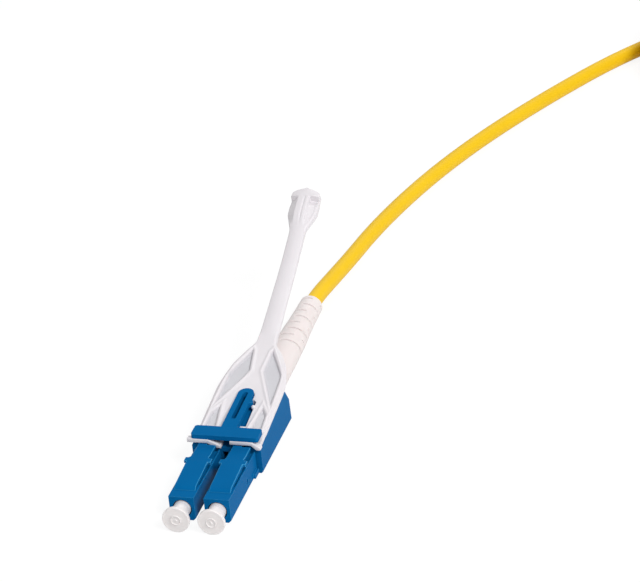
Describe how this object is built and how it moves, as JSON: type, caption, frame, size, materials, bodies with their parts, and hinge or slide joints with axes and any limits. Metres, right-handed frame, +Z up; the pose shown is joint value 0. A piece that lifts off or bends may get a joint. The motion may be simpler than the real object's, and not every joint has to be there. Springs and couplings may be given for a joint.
{
  "type": "lc fibre connector",
  "caption": "Duplex lc fibre connector with blue plugs, white push-pull tab, ringed boot, dust caps and a yellow cable pigtail.",
  "frame": {"origin": "bottom centre of the connector's box, without its cable; the floor is the housing's underside", "axes": "+Y from the mating face to the cable, +Z up on the latch side, +X to the right seen from the mating face"},
  "size_m": [0.0895, 0.2082, 0.0244],
  "materials": {
    "housing_blue": "semi-gloss moulded blue",
    "tab_white": "satin cool white",
    "boot_white": "satin warm white elastomer",
    "cap_white": "soft satin greyish white",
    "ceramic_white": "polished zirconia",
    "flange_metal": "nickel-plated",
    "spring_steel": "drawn wire",
    "stop_metal": "nickel-plated turned",
    "jacket_yellow": "satin yellow jacket",
    "fibre_buffer": "tight-buffer coating",
    "yarn": "aramid yarn",
    "tie_white": "flat strap"
  },
  "bodies": {
    "connector": {"plug_body_left": "housing_blue", "ferrule_spring_left": "spring_steel", "spring_stop_left": "stop_metal", "fibre_left": "fibre_buffer", "plug_body_right": "housing_blue", "ferrule_spring_right": "spring_steel", "spring_stop_right": "stop_metal", "fibre_right": "fibre_buffer", "housing_base": "housing_blue", "housing_cover": "housing_blue", "crimp_core": "stop_metal", "crimp_sleeve": "stop_metal", "strain_boot": "boot_white", "cable_in_boot": "jacket_yellow", "cable_tail": "jacket_yellow", "cable_coil": "jacket_yellow", "coil_tie": "tie_white", "cable_end": "jacket_yellow", "bare_fibre_left": "fibre_buffer", "bare_fibre_right": "fibre_buffer", "yarn_end": "yarn"},
    "tab": {"pull_tab": "tab_white", "trigger_clip": "housing_blue"},
    "latch_left_arm": {"latch_left": "housing_blue"},
    "ferrule_left_set": {"ferrule_left": "ceramic_white", "ferrule_flange_left": "flange_metal"},
    "cap_left": {"dust_cap_left": "cap_white"},
    "latch_right_arm": {"latch_right": "housing_blue"},
    "ferrule_right_set": {"ferrule_right": "ceramic_white", "ferrule_flange_right": "flange_metal"},
    "cap_right": {"dust_cap_right": "cap_white"}
  },
  "joints": [
    {"name": "tab_pull", "type": "slide", "parent": "connector", "child": "tab", "axis": [0, 0.9907, 0.1357], "range_m": [0, 0.002], "stiffness_N_per_m": 900},
    {"name": "latch_left_flex", "type": "hinge", "parent": "connector", "child": "latch_left_arm", "pos_m": [-0.00313, -0.03349, 0.00469], "axis": [-1, 0, 0], "range_deg": [0, 4.2]},
    {"name": "ferrule_left_float", "type": "slide", "parent": "connector", "child": "ferrule_left_set", "axis": [0, 1, 0], "range_m": [0, 0.0006], "stiffness_N_per_m": 1200, "springref_m": -0.004, "deforming": ["ferrule_spring_left"]},
    {"name": "cap_left_off", "type": "slide", "parent": "connector", "child": "cap_left", "axis": [0, -1, 0], "range_m": [0, 0.02]},
    {"name": "latch_right_flex", "type": "hinge", "parent": "connector", "child": "latch_right_arm", "pos_m": [0.00313, -0.03349, 0.00469], "axis": [-1, 0, 0], "range_deg": [0, 4.2]},
    {"name": "ferrule_right_float", "type": "slide", "parent": "connector", "child": "ferrule_right_set", "axis": [0, 1, 0], "range_m": [0, 0.0006], "stiffness_N_per_m": 1200, "springref_m": -0.004, "deforming": ["ferrule_spring_right"]},
    {"name": "cap_right_off", "type": "slide", "parent": "connector", "child": "cap_right", "axis": [0, -1, 0], "range_m": [0, 0.02]}
  ],
  "couplings": [
    {"joint": "latch_left_flex", "follows": "tab_pull", "rad_per_m": 27.9},
    {"joint": "latch_right_flex", "follows": "tab_pull", "rad_per_m": 27.9}
  ]
}
